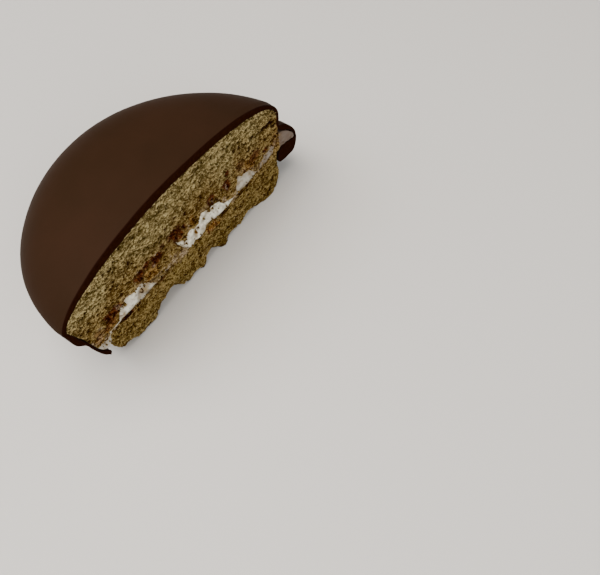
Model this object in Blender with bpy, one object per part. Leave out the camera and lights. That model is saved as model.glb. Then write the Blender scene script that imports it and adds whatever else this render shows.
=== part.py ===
"""Half of a round marshmallow pie in a chocolate coat, cut down through the middle.

Four pieces: the chocolate coat, the domed upper cake, the marshmallow and the lower cake.
Each piece is built from level rings. A ring is an arc that starts on the cut at the near
end (-X), runs round the back (+Y) and ends on the cut at the far end (+X).
"""

import math

import bmesh
import bpy
import numpy as np
from mathutils import Vector, noise

# Driving dimensions in millimetres: X along the cut, Y into the half, Z up from the underside.
# A ring is (near x, near z, far x, far z, back y, back z).
MM = 0.001
GAP = 0.3

# How finely the rings are laid. The rings of a cake's dome meet the cut at the same points as
# its underside's, so a ring has twice as many steps as a dome.
DOME_STEPS = 20
ROUND_STEPS = 2 * DOME_STEPS
OUTER_DOME_STEPS = 10
SKIRT_STEPS = 26
CAKE_SIDE_STEPS = 8
MARSHMALLOW_SIDE_STEPS = 12
RIM_CLOSENESS = 1.4
# A dome's pole stands over the cut, at this share of the way from its near end to its far end.
POLE = 0.473

# The chocolate coat: an outer and an inner dome, and the skirt that hangs from their rims.
# A dome's curves are (power, root) at the near end, the far end and the back.
OUTER_RIM = (-51.1, 31.0, 42.1, 27.4, 43.0, 24.8)
OUTER_TOP = 46.3
OUTER_CURVES = ((2.3, 0.6), (2.05, 0.42), (4.0, 0.65))
INNER_RIM = (-49.6, 30.9, 40.9, 27.0, 41.3, 24.8)
INNER_TOP = 43.3
INNER_CURVES = ((1.75, 0.53), (1.8, 0.375), (3.8, 0.6))
OUTER_SKIRT = (
    (-50.1, 26.2, 41.9, 25.0, 42.5, 22.0),
    (-49.1, 22.8, 45.0, 22.9, 42.3, 19.6),
    (-47.0, 20.0, 48.4, 18.6, 42.5, 17.4),
    (-46.1, 16.4, 50.7, 14.6, 42.8, 15.0),
    (-45.3, 13.2, 51.3, 11.4, 42.5, 12.2),
    (-44.3, 10.0, 50.6, 8.4, 41.6, 9.4),
)
LIP = (
    (-43.1, 7.4, 48.8, 6.9, 40.4, 7.3),
    (-42.1, 6.6, 44.8, 7.7, 39.6, 7.0),
    (-41.4, 7.4, 41.4, 8.2, 39.4, 7.9),
)
INNER_SKIRT = (
    (-42.2, 9.2, 41.1, 11.8, 39.6, 9.8),
    (-43.5, 11.0, 43.6, 14.5, 40.0, 11.4),
    (-44.4, 13.0, 46.6, 13.4, 40.6, 12.8),
    (-45.0, 15.0, 49.7, 12.6, 41.1, 14.4),
    (-45.5, 17.4, 49.4, 15.2, 41.4, 16.2),
    (-46.2, 19.8, 46.4, 18.7, 41.3, 17.8),
    (-47.2, 22.6, 43.0, 21.3, 41.0, 19.6),
    (-48.5, 26.6, 41.0, 24.0, 40.9, 21.8),
)

# The upper cake, which slid towards the near end, follows the coat's inner dome.
UPPER_SIDE = (
    (-47.1, 24.0, 40.6, 23.4, 39.6, 22.6),
    (-45.4, 20.2, 40.5, 21.4, 38.7, 21.0),
    (-44.1, 16.6, 40.4, 19.3, 38.4, 19.8),
)

# The marshmallow: bulges out past the cake at the far end and runs down at the near end.
MARSHMALLOW_RIM = (-44.1, 16.3, 40.4, 19.0, 38.4, 19.5)
MARSHMALLOW_SIDE = (
    (-44.6, 16.2, 40.9, 19.0, 38.9, 19.5),
    (-44.8, 16.2, 41.2, 20.3, 39.2, 20.4),
    (-44.9, 16.0, 42.9, 20.8, 39.5, 19.8),
    (-44.8, 15.4, 46.0, 18.4, 40.0, 18.0),
    (-44.3, 14.0, 48.9, 15.1, 40.4, 15.8),
    (-43.6, 12.4, 48.8, 13.3, 40.1, 14.2),
    (-42.8, 11.0, 46.4, 14.1, 39.9, 13.3),
    (-42.0, 10.3, 43.4, 15.1, 39.6, 12.9),
    (-41.0, 10.1, 42.3, 14.8, 39.4, 13.0),
)
MARSHMALLOW_FLOOR = (-40.8, 14.3, 41.8, 14.3, 39.3, 14.3)
# Height of the marshmallow's upper edge along the cut, as (x, z). The cake was dragged over
# the low stretches by the knife.
MARSHMALLOW_EDGE = (
    (-44.3, 16.3), (-36.4, 15.9), (-34.6, 21.6), (-26.0, 21.6), (-21.6, 17.2), (-19.6, 15.5),
    (-10.4, 15.6), (-9.2, 21.4), (-5.8, 20.2), (0.2, 21.4), (2.0, 22.8), (6.2, 21.4), (9.2, 20.4),
    (12.0, 17.0), (16.6, 15.6), (18.0, 16.2), (19.2, 22.2), (24.8, 20.4), (27.8, 16.4), (29.6, 16.0),
    (32.0, 18.6), (37.6, 19.0), (40.6, 19.0),
)
# Away from the cut its top is level: how high, how far in, and over what share of the way from
# the rim. The last are the shares of that way at which a row of points is laid.
MARSHMALLOW_LEVEL = 20.0
DRAG_DEPTH = 5.0
DRAG_SHARE = 0.6
TOP_SHARES = (0, 0.3, 0.6, 0.78, 0.9, 0.96, 1)

# The lower cake, bare below the coat, with a ragged lower edge along the cut.
LOWER_TOP = 14.0
LOWER_SIDE = (
    (-39.6, 14.0, 39.2, 14.0, 38.8, 14.0),
    (-39.9, 12.0, 39.3, 12.0, 39.0, 12.0),
    (-39.9, 9.4, 39.7, 9.4, 39.1, 9.4),
    (-39.5, 6.4, 40.1, 6.4, 39.0, 6.4),
    (-38.9, 3.6, 40.2, 3.6, 38.6, 3.6),
    (-38.1, 1.4, 39.6, 1.4, 37.9, 1.4),
    (-36.9, 0.0, 38.2, 0.0, 36.4, 0.0),
)
# Height of the lower edge along the cut, as (x, z), and how far into the half it reaches.
TORN_EDGE = (
    (-40.0, 6.0), (-38.0, 3.2), (-34.2, 3.4), (-31.2, 0.6), (-24.0, 0.3), (-20.6, 4.2), (-15.2, 6.4),
    (-13.4, 5.8), (-11.2, 2.2), (-7.8, 0.0), (-6.0, 1.2), (-4.0, 1.0), (-1.6, 0.0), (0.8, 3.2), (3.4, 3.8),
    (7.4, 0.0), (10.6, 0.0), (13.6, 1.1), (18.0, 0.0), (22.6, 1.9), (27.4, 0.0), (38.2, 0.0),
)
TORN_DEPTH = 3.5
# How far the torn crumb stands out of the cut at its foot, as (x, millimetres), the height over
# which that dies away, and the depth behind the cut over which it does.
OUTSTANDING = (
    (-3.0, 0.0), (-1.6, 0.6), (-0.8, 0.75), (0.4, 0.3), (1.2, 0.0), (6.8, 0.0), (8.2, 1.0), (9.0, 1.2),
    (10.0, 0.9), (11.6, 0.0), (26.0, 0.0), (28.5, 0.4), (29.8, 1.0), (31.0, 1.45), (33.0, 1.6),
    (35.0, 1.45), (37.8, 0.6), (39.4, 0.0),
)
OUT_HEIGHT = 7.0
OUT_DEPTH = 3.0
# The shares of the way from the rim to the cut at which a row of points is laid underneath.
BOTTOM_SHARES = (0, 0.4, 0.75, 0.88, 0.95, 1)

# A flat face between a ring and the cut is laid in rows at these shares of the way.
FLAT_SHARES = (0, 0.5, 1)

# Crumb relief on the cut faces, and on the side rings of the lower cake that are bare: height
# in millimetres, size, and the roughness, step in size and number of steps of its finer detail.
UPPER_CRUMB = 1.0
LOWER_CRUMB = 1.2
SIDE_CRUMB = 0.35
BARE_FROM = 4
CRUMB_SIZE = 2.6
CRUMB_DETAIL = (0.9, 2.0, 3)
SEED_STEP = Vector((11.3, 5.7, 3.1))
# Crumb also moves points up or down the cut, by this share of the height so many columns away.
SHIFT_SHARE = 0.4
SHIFT_COLUMNS = 7
# The power with which a cut face's ends give way to straight lines between its edges.
END_PULL = 4

# Points closer than the first are merged, edges shorter than the second are dissolved, in
# millimetres, and edges sharper than the angle in degrees are shaded sharp.
MERGED = 0.01
SHORTEST = 0.001
SHARP = 40

# Linear colour and roughness of each food.
CHOCOLATE = ((0.044, 0.017, 0.009), 0.35)
UPPER_SPONGE = ((0.20, 0.12, 0.045), 0.9)
WHIPPED_SUGAR = ((0.64, 0.60, 0.56), 0.5)
LOWER_SPONGE = ((0.21, 0.11, 0.025), 0.95)


def ring(spec):
    """Points of a level arc through its near end, its back and its far end."""
    near_x, near_z, far_x, far_z, back_y, back_z = spec
    foot = near_x + POLE * (far_x - near_x)
    middle = (near_x + far_x) / 2
    half = (far_x - near_x) / 2
    radius = (half ** 2 + back_y ** 2) / (2 * back_y)
    centre_y = back_y - radius
    turn = np.linspace(math.pi, 0, ROUND_STEPS + 1)
    c, s = np.cos(turn), np.sin(turn)
    s[0] = s[-1] = 0.0
    along = c * (middle - foot) + s * centre_y
    reach = along + np.sqrt(radius ** 2 - (middle - foot) ** 2 - centre_y ** 2 + along ** 2)
    height = near_z * np.minimum(c, 0) ** 2 + far_z * np.maximum(c, 0) ** 2 + back_z * s ** 2
    return np.stack([foot + reach * c, reach * s, height], axis=-1)


def dome(rim, top, curves, share, shrink=0.0):
    """Ring of a dome at a share of the rim's reach, from 0 at the pole to 1 at the rim."""
    near_x, near_z, far_x, far_z, back_y, back_z = rim
    near_x, far_x, back_y = near_x + shrink, far_x - shrink, back_y - shrink
    top = top - shrink
    foot = near_x + POLE * (far_x - near_x)
    heights = []
    for low, (power, root) in zip((near_z, far_z, back_z), curves):
        heights.append(low + (top - low) * (1 - share ** power) ** root)
    return (
        foot + (near_x - foot) * share, heights[0],
        foot + (far_x - foot) * share, heights[1],
        back_y * share, heights[2],
    )


def dome_rings(rim, top, curves, steps, shrink=0.0):
    """A dome's rings from its rim, closer together near it, to its pole."""
    shares = 1 - np.linspace(0, 1, steps + 1) ** RIM_CLOSENESS
    rings = [ring(dome(rim, top, curves, share, shrink)) for share in shares[:-1]]
    foot = rim[0] + shrink + POLE * (rim[2] - rim[0] - 2 * shrink)
    return rings + [np.tile((foot, 0.0, top - shrink), (ROUND_STEPS + 1, 1))]


def smooth(rows, steps):
    """A smooth run of rings through the given ones, as a Catmull-Rom curve."""
    rows = np.array(rows)
    padded = np.vstack([2 * rows[0] - rows[1], rows, 2 * rows[-1] - rows[-2]])
    result = []
    for place in np.linspace(0, len(rows) - 1, steps + 1):
        i = min(int(place), len(rows) - 2)
        t = place - i
        a, b, c, d = padded[i:i + 4]
        result.append(0.5 * (2 * b + (c - a) * t + (2 * a - 5 * b + 4 * c - d) * t ** 2
                             + (3 * b - a - 3 * c + d) * t ** 3))
    return result


def chord(rim):
    """Points spread evenly along the cut between a ring's two ends."""
    return rim[0] + (rim[-1] - rim[0]) * np.linspace(0, 1, len(rim))[:, None]


def across(rim, line, shares):
    """Rows of points that run from a ring across to a line of points on the cut."""
    return [rim * (1 - share) + line * share for share in shares]


def edge_height(edge, x):
    """Height of an edge along the cut."""
    xs, zs = np.array(edge).T
    return np.interp(x, xs, zs)


def ease(value):
    """A smooth step from 0 to 1."""
    value = np.clip(value, 0, 1)
    return value ** 2 * (3 - 2 * value)


def layer_top(rim, lift):
    """Rows of the marshmallow's top, raised by lift: its uneven edge on the cut eases into a
    level top, which eases down to the rim."""
    line = chord(rim)
    line[1:-1, 2] = edge_height(MARSHMALLOW_EDGE, line[1:-1, 0]) + lift
    rows = across(rim, line, TOP_SHARES)
    for row, share in zip(rows, TOP_SHARES):
        level = MARSHMALLOW_LEVEL + lift - row[1:-1, 2]
        row[1:-1, 2] += level * ease(row[1:-1, 1] / DRAG_DEPTH) * ease(share / DRAG_SHARE)
    return rows


def relief(points, depth, seed):
    """Crumb height at each point, from -depth to +depth."""
    return np.array([
        depth * noise.fractal(Vector(p) / CRUMB_SIZE + seed * SEED_STEP, *CRUMB_DETAIL)
        for p in points.reshape(-1, 3)
    ]).reshape(points.shape[:-1])


def tear(points):
    """The lower cake's points, lifted towards its torn lower edge near the cut."""
    torn = edge_height(TORN_EDGE, points[:, 0]) * np.clip(1 - points[:, 1] / TORN_DEPTH, 0, 1)
    lifted = points.copy()
    lifted[:, 2] += torn * (1 - points[:, 2] / LOWER_TOP)
    return lifted


def outstanding(points):
    """How far each of the lower cake's points is pushed out of the cut."""
    out = edge_height(OUTSTANDING, points[:, 0]) * ease(1 - points[:, 2] / OUT_HEIGHT)
    return out * np.clip(1 - points[:, 1] / OUT_DEPTH, 0, 1)


def cut_face(side, low, high, depth, seed):
    """Grid across the cut between the side rings' ends and the lower and upper edges, with
    crumb relief away from all four."""
    across_share = np.linspace(0, 1, len(low))[:, None]
    rows = []
    for row, down in zip(side, np.linspace(0, 1, len(side))):
        straight = (1 - down) * high + down * low
        near_pull = (1 - across_share) ** END_PULL * (row[0] - straight[0])
        far_pull = across_share ** END_PULL * (row[-1] - straight[-1])
        rows.append(straight + near_pull + far_pull)
    grid = np.array(rows)
    inner = np.zeros(grid.shape[:2])
    inner[1:-1, 1:-1] = 1.0
    rough = relief(grid, depth, seed)
    grid[..., 1] += rough * inner
    grid[..., 2] += SHIFT_SHARE * np.roll(rough, SHIFT_COLUMNS, axis=1) * inner
    return grid


def material(name, colour, roughness):
    """A plain surface of one colour."""
    result = bpy.data.materials.new(name)
    result.use_nodes = True
    shader = result.node_tree.nodes["Principled BSDF"]
    shader.inputs["Base Color"].default_value = (*colour, 1.0)
    shader.inputs["Roughness"].default_value = roughness
    shader.inputs["Metallic"].default_value = 0.0
    return result


def solid(name, sheets, look, fill_cut=False):
    """One closed object from sheets of points whose shared edges are merged."""
    bm = bmesh.new()
    for sheet in sheets:
        grid = [[bm.verts.new(Vector(p) * MM) for p in row] for row in sheet]
        for upper, lower in zip(grid, grid[1:]):
            for i in range(len(upper) - 1):
                bm.faces.new((upper[i], upper[i + 1], lower[i + 1], lower[i]))
    bmesh.ops.remove_doubles(bm, verts=bm.verts, dist=MERGED * MM)
    bmesh.ops.dissolve_degenerate(bm, edges=bm.edges, dist=SHORTEST * MM)
    if fill_cut:
        open_edges = [edge for edge in bm.edges if edge.is_boundary]
        bmesh.ops.holes_fill(bm, edges=open_edges, sides=0)
    bmesh.ops.triangulate(bm, faces=bm.faces)
    bmesh.ops.recalc_face_normals(bm, faces=bm.faces)
    mesh = bpy.data.meshes.new(name)
    bm.to_mesh(mesh)
    bm.free()
    mesh.shade_smooth()
    mesh.set_sharp_from_angle(angle=math.radians(SHARP))
    mesh.materials.append(material(name, *look))
    piece = bpy.data.objects.new(name, mesh)
    bpy.context.scene.collection.objects.link(piece)
    return piece


def make_coat():
    """The chocolate shell: outer dome and skirt, the lip's bead, then the inside back up."""
    outer = dome_rings(OUTER_RIM, OUTER_TOP, OUTER_CURVES, OUTER_DOME_STEPS)
    inner = dome_rings(INNER_RIM, INNER_TOP, INNER_CURVES, DOME_STEPS)
    profile = (OUTER_RIM, *OUTER_SKIRT, *LIP, *INNER_SKIRT, INNER_RIM)
    skirt = [ring(spec) for spec in smooth(profile, SKIRT_STEPS)]
    rings = outer[:0:-1] + skirt + inner[1:]
    return solid("coat", [rings], CHOCOLATE, fill_cut=True)


def make_upper_cake():
    """The domed upper cake, a gap inside the coat, its underside a gap above the marshmallow."""
    top = dome_rings(INNER_RIM, INNER_TOP, INNER_CURVES, DOME_STEPS, GAP)
    rim = dome(INNER_RIM, INNER_TOP, INNER_CURVES, 1.0, GAP)
    side = [ring(spec) for spec in smooth((rim, *UPPER_SIDE), CAKE_SIDE_STEPS)]
    high = np.array([row[0] for row in top] + [row[-1] for row in top[-2::-1]])
    under = layer_top(side[-1], GAP)
    face = cut_face(side, under[-1], high, UPPER_CRUMB, 1)
    return solid("upper_cake", [top, side, under, face], UPPER_SPONGE)


def make_marshmallow():
    """The marshmallow: a level layer that bulges to the coat and runs down at the near end."""
    rim = ring(MARSHMALLOW_RIM)
    floor = ring(MARSHMALLOW_FLOOR)
    bulge = [ring(spec) for spec in smooth(MARSHMALLOW_SIDE, MARSHMALLOW_SIDE_STEPS)]
    top = layer_top(rim, 0)
    bottom = across(floor, chord(floor), FLAT_SHARES)
    return solid("marshmallow", [top, [rim, *bulge, floor], bottom], WHIPPED_SUGAR, fill_cut=True)


def make_lower_cake():
    """The lower cake: a flat disc half with a rounded, torn lower edge."""
    side = [ring(spec) for spec in smooth(LOWER_SIDE, CAKE_SIDE_STEPS)]
    for row in side[BARE_FROM:-1]:
        outward = row[1:-1, :2] / np.linalg.norm(row[1:-1, :2], axis=1, keepdims=True)
        row[1:-1, :2] += outward * relief(row[1:-1], SIDE_CRUMB, 3)[:, None]
    high = chord(side[0])
    top = across(side[0], high, FLAT_SHARES)
    bottom = across(side[-1], chord(side[-1]), BOTTOM_SHARES)
    side = [tear(row) for row in side]
    bottom = [tear(row) for row in bottom]
    face = cut_face(side, bottom[-1], high, LOWER_CRUMB, 2)
    for sheet in (side, bottom, face):
        for row in sheet:
            row[:, 1] -= outstanding(row)
    return solid("lower_cake", [top, side, bottom, face], LOWER_SPONGE)


def main():
    for obj in list(bpy.data.objects):
        bpy.data.objects.remove(obj, do_unlink=True)
    pieces = [make_coat(), make_upper_cake(), make_marshmallow(), make_lower_cake()]
    corners = np.array([vertex.co for piece in pieces for vertex in piece.data.vertices])
    low, high = corners.min(axis=0), corners.max(axis=0)
    base = bpy.data.objects.new("base", None)
    base.location = (-(low[0] + high[0]) / 2, -(low[1] + high[1]) / 2, -low[2])
    bpy.context.scene.collection.objects.link(base)
    for piece in pieces:
        piece.parent = base


main()
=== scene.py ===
"""Half of a round chocolate marshmallow pie, cut down through the middle.

Four layers of surface in fine detail stand in the places of the frame's plain solids, and
loose crumbs lie on the cut. Sizes are in millimetres: X along the cut, Y from the cut into
the half, Z up from the underside.
"""
import math
from itertools import product

import bmesh
import bpy
import numpy as np
from mathutils import Matrix, Vector


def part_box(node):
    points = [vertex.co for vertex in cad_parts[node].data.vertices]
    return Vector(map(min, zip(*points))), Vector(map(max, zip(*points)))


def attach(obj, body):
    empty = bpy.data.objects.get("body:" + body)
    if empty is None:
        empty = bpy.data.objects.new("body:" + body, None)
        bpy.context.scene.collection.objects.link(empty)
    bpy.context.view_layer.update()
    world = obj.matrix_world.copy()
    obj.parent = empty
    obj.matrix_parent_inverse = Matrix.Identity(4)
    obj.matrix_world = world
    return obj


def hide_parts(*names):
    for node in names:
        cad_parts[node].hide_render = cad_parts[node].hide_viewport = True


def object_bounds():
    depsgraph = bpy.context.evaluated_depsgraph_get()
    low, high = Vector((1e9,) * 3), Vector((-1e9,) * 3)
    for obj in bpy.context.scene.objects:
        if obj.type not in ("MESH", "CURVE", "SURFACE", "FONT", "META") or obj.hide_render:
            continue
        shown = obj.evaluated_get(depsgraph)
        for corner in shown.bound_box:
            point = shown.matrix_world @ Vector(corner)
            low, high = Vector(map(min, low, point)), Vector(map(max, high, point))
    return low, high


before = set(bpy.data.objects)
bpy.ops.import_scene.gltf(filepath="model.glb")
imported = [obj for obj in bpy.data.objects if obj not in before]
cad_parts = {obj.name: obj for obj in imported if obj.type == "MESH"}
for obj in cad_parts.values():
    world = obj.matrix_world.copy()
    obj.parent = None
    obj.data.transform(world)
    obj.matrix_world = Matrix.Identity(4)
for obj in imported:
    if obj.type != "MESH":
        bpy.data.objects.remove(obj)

MM = 0.001
CAD_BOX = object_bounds()
COAT_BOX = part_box("coat")
COAT_MIDDLE_X = 0.1
ORIGIN = np.array([
    (COAT_BOX[0][0] + COAT_BOX[1][0]) / 2 - COAT_MIDDLE_X * MM,
    COAT_BOX[0][1],
    0.0,
])

# Level arcs of the layers, as (near x, near z, far x, far z, back y, back z). The near end is
# at -X. A dome's curves are (power, root) at the near end, the far end and the back.
POLE = 0.473
OUTER_RIM = (-51.1, 31.0, 42.1, 27.4, 43.0, 24.8)
OUTER_TOP = 46.3
OUTER_CURVES = ((2.3, 0.6), (2.05, 0.42), (4.0, 0.65))
INNER_RIM = (-49.6, 30.9, 40.9, 27.0, 41.3, 24.8)
INNER_TOP = 43.3
INNER_CURVES = ((1.75, 0.53), (1.8, 0.375), (3.8, 0.6))
OUTER_SKIRT = (
    (-50.1, 26.2, 41.9, 25.0, 42.5, 22.0),
    (-49.1, 22.8, 45.0, 22.9, 42.3, 19.6),
    (-47.0, 20.0, 48.4, 18.6, 42.5, 17.4),
    (-46.1, 16.4, 50.7, 14.6, 42.8, 15.0),
    (-45.3, 13.2, 51.3, 11.4, 42.5, 12.2),
    (-44.3, 10.0, 50.6, 8.4, 41.6, 9.4),
)
LIP = (
    (-43.1, 7.4, 48.8, 6.9, 40.4, 7.3),
    (-42.1, 6.6, 44.8, 7.7, 39.6, 7.0),
    (-41.4, 7.4, 41.4, 8.2, 39.4, 7.9),
)
INNER_SKIRT = (
    (-42.2, 9.2, 41.1, 11.8, 39.6, 9.8),
    (-43.5, 11.0, 43.6, 14.5, 40.0, 11.4),
    (-44.4, 13.0, 46.6, 13.4, 40.6, 12.8),
    (-45.0, 15.0, 49.7, 12.6, 41.1, 14.4),
    (-45.5, 17.4, 49.4, 15.2, 41.4, 16.2),
    (-46.2, 19.8, 46.4, 18.7, 41.3, 17.8),
    (-47.2, 22.6, 43.0, 21.3, 41.0, 19.6),
    (-48.5, 26.6, 41.0, 24.0, 40.9, 21.8),
)
UPPER_SIDE = (
    (-47.1, 24.0, 40.6, 23.4, 39.6, 22.6),
    (-45.4, 20.2, 40.5, 21.4, 38.7, 21.0),
    (-44.1, 16.4, 40.4, 19.1, 38.4, 19.6),
)
MARSHMALLOW_SIDE = (
    (-44.1, 16.4, 40.4, 19.1, 38.4, 19.6),
    (-44.6, 16.4, 40.9, 19.0, 38.9, 19.5),
    (-44.8, 16.3, 41.2, 20.3, 39.2, 20.4),
    (-44.9, 16.0, 42.9, 20.8, 39.5, 19.8),
    (-44.8, 15.4, 46.0, 18.4, 40.0, 18.0),
    (-44.3, 14.0, 48.9, 15.1, 40.4, 15.8),
    (-43.6, 12.4, 48.8, 13.3, 40.1, 14.2),
    (-42.8, 11.0, 46.4, 14.1, 39.9, 13.3),
    (-42.0, 10.3, 43.4, 15.1, 39.6, 12.9),
    (-41.0, 10.1, 42.3, 14.8, 39.4, 13.0),
    (-40.8, 13.9, 41.8, 13.9, 39.3, 13.9),
)
LOWER_TOP = 14.0
LOWER_SIDE = (
    (-39.6, 14.0, 39.2, 14.0, 38.8, 14.0),
    (-39.9, 12.0, 39.3, 12.0, 39.0, 12.0),
    (-39.9, 9.4, 39.7, 9.4, 39.1, 9.4),
    (-39.5, 6.4, 40.1, 6.4, 39.0, 6.4),
    (-38.9, 3.6, 40.2, 3.6, 38.6, 3.6),
    (-38.1, 1.4, 39.6, 1.4, 37.9, 1.4),
    (-36.9, 0.0, 38.2, 0.0, 36.4, 0.0),
)

# Edges along the cut, as (x, z): the marshmallow's upper edge, and the lower cake's torn one.
MARSHMALLOW_EDGE = (
    (-44.3, 16.3), (-36.4, 15.9), (-34.6, 21.6), (-26.0, 21.6), (-21.6, 17.2), (-19.6, 15.5),
    (-10.4, 15.6), (-9.2, 21.4), (-5.8, 20.2), (0.2, 21.4), (2.0, 22.8), (6.2, 21.4), (9.2, 20.4),
    (12.0, 17.0), (16.6, 15.6), (18.0, 16.2), (19.2, 22.2), (24.8, 20.4), (27.8, 16.4), (29.6, 16.0),
    (32.0, 18.6), (37.6, 19.0), (40.6, 19.0),
)
MARSHMALLOW_LEVEL = 20.0
DRAG_DEPTH = 5.0
TORN_EDGE = (
    (-40.0, 6.0), (-38.0, 3.2), (-34.2, 3.4), (-31.2, 0.6), (-24.0, 0.3), (-20.6, 4.2), (-15.2, 6.4),
    (-13.4, 5.8), (-11.2, 2.2), (-7.8, 0.0), (-6.0, 1.2), (-4.0, 1.0), (-1.6, 0.0), (0.8, 3.2), (3.4, 3.8),
    (7.4, 0.0), (10.6, 0.0), (13.6, 1.1), (18.0, 0.0), (22.6, 1.9), (27.4, 0.0), (38.2, 0.0),
)
TORN_DEPTH = 3.5
# How far crumb stands out of the cut along the lower edge, as (x, millimetres).
OUTSTANDING = (
    (-3.0, 0.0), (-1.6, 0.6), (-0.8, 0.75), (0.4, 0.3), (1.2, 0.0), (6.8, 0.0), (8.2, 0.9), (9.0, 1.1),
    (10.0, 0.8), (11.6, 0.0), (26.0, 0.0), (28.5, 0.4), (29.8, 0.9), (31.0, 1.25), (33.0, 1.35),
    (35.0, 1.25), (37.8, 0.5), (39.4, 0.0),
)

# The open marshmallow on the cut, as outlines of (x, z). Crumb dragged over by the knife covers
# the rest of its edge: DRAGGED is where that crumb lies, and LUMPS lie on the open marshmallow.
SHOWING = (
    ((-35.2, 15.4), (-34.4, 18.5), (-33.2, 20.5), (-31.0, 21.7), (-27.5, 20.4), (-25.3, 21.7),
     (-23.0, 18.8), (-21.0, 16.0), (-19.2, 14.2), (-25.0, 14.2), (-30.0, 15.0)),
    ((-10.0, 22.8), (-5.6, 18.9), (-3.5, 22.9), (-2.3, 20.3), (0.3, 20.1), (2.0, 23.6), (5.2, 21.3),
     (8.2, 21.1), (12.2, 17.9), (14.8, 15.9), (18.0, 14.6), (13.0, 13.4), (8.2, 14.3), (5.6, 15.9),
     (3.2, 15.7), (2.4, 13.7), (-0.4, 13.2), (-5.0, 13.4), (-7.2, 17.2)),
    ((18.2, 14.4), (18.5, 18.4), (19.4, 22.3), (21.0, 20.5), (24.8, 19.8), (28.0, 15.9), (30.0, 15.4),
     (25.4, 14.2)),
    ((29.4, 15.0), (31.0, 17.0), (33.0, 19.2), (34.8, 18.6), (36.6, 19.4), (38.8, 17.4), (37.8, 15.4),
     (34.0, 14.8)),
    ((-38.7, 16.2), (-39.6, 14.9), (-41.0, 13.6), (-42.6, 13.4), (-45.0, 14.8), (-46.0, 10.0),
     (-38.8, 10.0)),
    ((-39.4, 15.9), (-34.8, 15.7), (-34.8, 15.1), (-38.8, 15.0)),
    ((-20.4, 14.2), (-19.4, 15.0), (-16.6, 16.1), (-13.4, 16.2), (-13.2, 15.4), (-16.4, 15.4),
     (-19.0, 14.4)),
    ((41.4, 26.0), (41.2, 18.0), (41.6, 10.0), (52.0, 10.0), (52.0, 26.0)),
)
DRAGGED = (
    (-48.0, 15.6), (-48.0, 20.4), (-40.0, 20.4), (-34.0, 23.6), (-25.0, 23.4), (-19.0, 20.0),
    (-13.0, 20.6), (-9.0, 24.0), (2.0, 24.8), (12.0, 21.0), (18.4, 24.0), (25.0, 22.0), (30.0, 19.6),
    (36.0, 21.6), (41.3, 22.4), (41.5, 15.0), (38.6, 12.6), (20.0, 13.0), (7.6, 11.2), (3.4, 11.6),
    (0.0, 12.8), (-20.0, 13.2), (-38.8, 13.0),
)
LUMPS = (
    (-1.1, 17.5, 0.5, 1.3), (-1.9, 14.0, 0.5, 0.9), (-25.2, 17.6, 0.8, 1.5), (-23.9, 18.4, 0.5, 1.4),
    (-31.8, 19.8, 0.55, 1.0), (-5.5, 17.0, 0.35, 0.5), (0.2, 18.2, 0.35, 0.4), (3.0, 19.3, 0.4, 0.4),
    (5.6, 20.4, 0.6, 0.4), (7.2, 19.8, 0.5, 0.4), (6.1, 16.1, 0.35, 0.5), (34.2, 17.6, 0.4, 0.4),
)
# Where the far bulge starts, which has little crumb on it, and how far the marshmallow is greyed
# as painted shade, most on the far bulge, as (x, share).
CLEAN_FROM = 41.0
MARSHMALLOW_SHADE = (
    (-39.6, 0.55), (-38.9, 0.15), (-28.5, 0.1), (-25.6, 0.5), (-22.6, 0.4), (-20.5, 0.1), (-12.0, 0.0),
    (16.5, 0.0), (18.5, 0.5), (29.0, 0.5), (31.5, 0.82), (39.0, 0.82), (41.5, 1.0),
)
# Dark, red-brown places where the upper cake is soaked, and two where the same dark tone is
# painted shade: the seam at the far end (40.8, 27.2) and the crumb under open marshmallow
# (-32.5, 14.7). As (x, z, half width, half height, strength).
SOAKED_AND_SHADED = (
    (-36.6, 21.2, 3.2, 2.1, 1.0), (-38.2, 19.0, 2.4, 1.6, 0.6), (-42.4, 19.4, 1.8, 1.6, 0.4),
    (-23.8, 24.3, 2.2, 1.7, 1.0), (-21.2, 24.7, 1.8, 1.7, 1.0), (-17.8, 23.8, 2.6, 1.6, 1.0),
    (-14.2, 25.6, 1.1, 1.0, 1.0), (-11.4, 25.4, 0.9, 1.5, 0.5), (-8.8, 24.7, 2.2, 1.9, 0.9),
    (-4.9, 24.6, 0.8, 1.2, 1.0), (6.9, 23.7, 1.4, 1.8, 1.0), (14.5, 23.1, 1.7, 2.3, 1.0),
    (15.2, 26.9, 0.8, 0.9, 1.0), (21.6, 25.2, 2.0, 1.6, 0.5), (28.0, 23.0, 2.6, 2.0, 0.6),
    (33.6, 20.8, 1.6, 0.9, 0.8), (37.8, 18.6, 1.6, 2.2, 0.3), (39.8, 20.0, 2.0, 5.0, 0.25),
    (40.8, 27.2, 0.6, 2.6, 1.0), (7.0, 12.4, 0.5, 1.3, 0.6), (3.2, 13.9, 0.4, 1.4, 0.7),
    (-32.5, 14.7, 2.5, 0.6, 1.0), (-17.6, 14.3, 1.6, 0.5, 0.7),
)
# Orange-brown places below them.
SYRUPY = (
    (-20.8, 20.8, 2.8, 1.9, 0.45), (-38.2, 18.2, 2.4, 1.8, 0.5), (-43.0, 17.0, 1.4, 1.6, 0.5),
    (5.2, 13.6, 2.1, 2.0, 0.85), (8.0, 12.4, 1.2, 1.0, 0.9), (-1.4, 16.0, 0.8, 3.0, 0.6),
    (-2.4, 24.0, 1.2, 2.0, 0.5), (25.0, 21.8, 4.5, 1.8, 0.4), (39.8, 20.0, 2.2, 5.4, 0.1),
)
# Crumb in deep shade under open marshmallow.
SHADED = (
    (-32.5, 14.8, 2.3, 0.55, 1.0), (-28.6, 14.3, 1.6, 0.4, 0.8), (11.0, 13.5, 3.2, 0.4, 0.8),
    (20.0, 13.9, 3.0, 0.4, 0.7),
)
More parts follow.
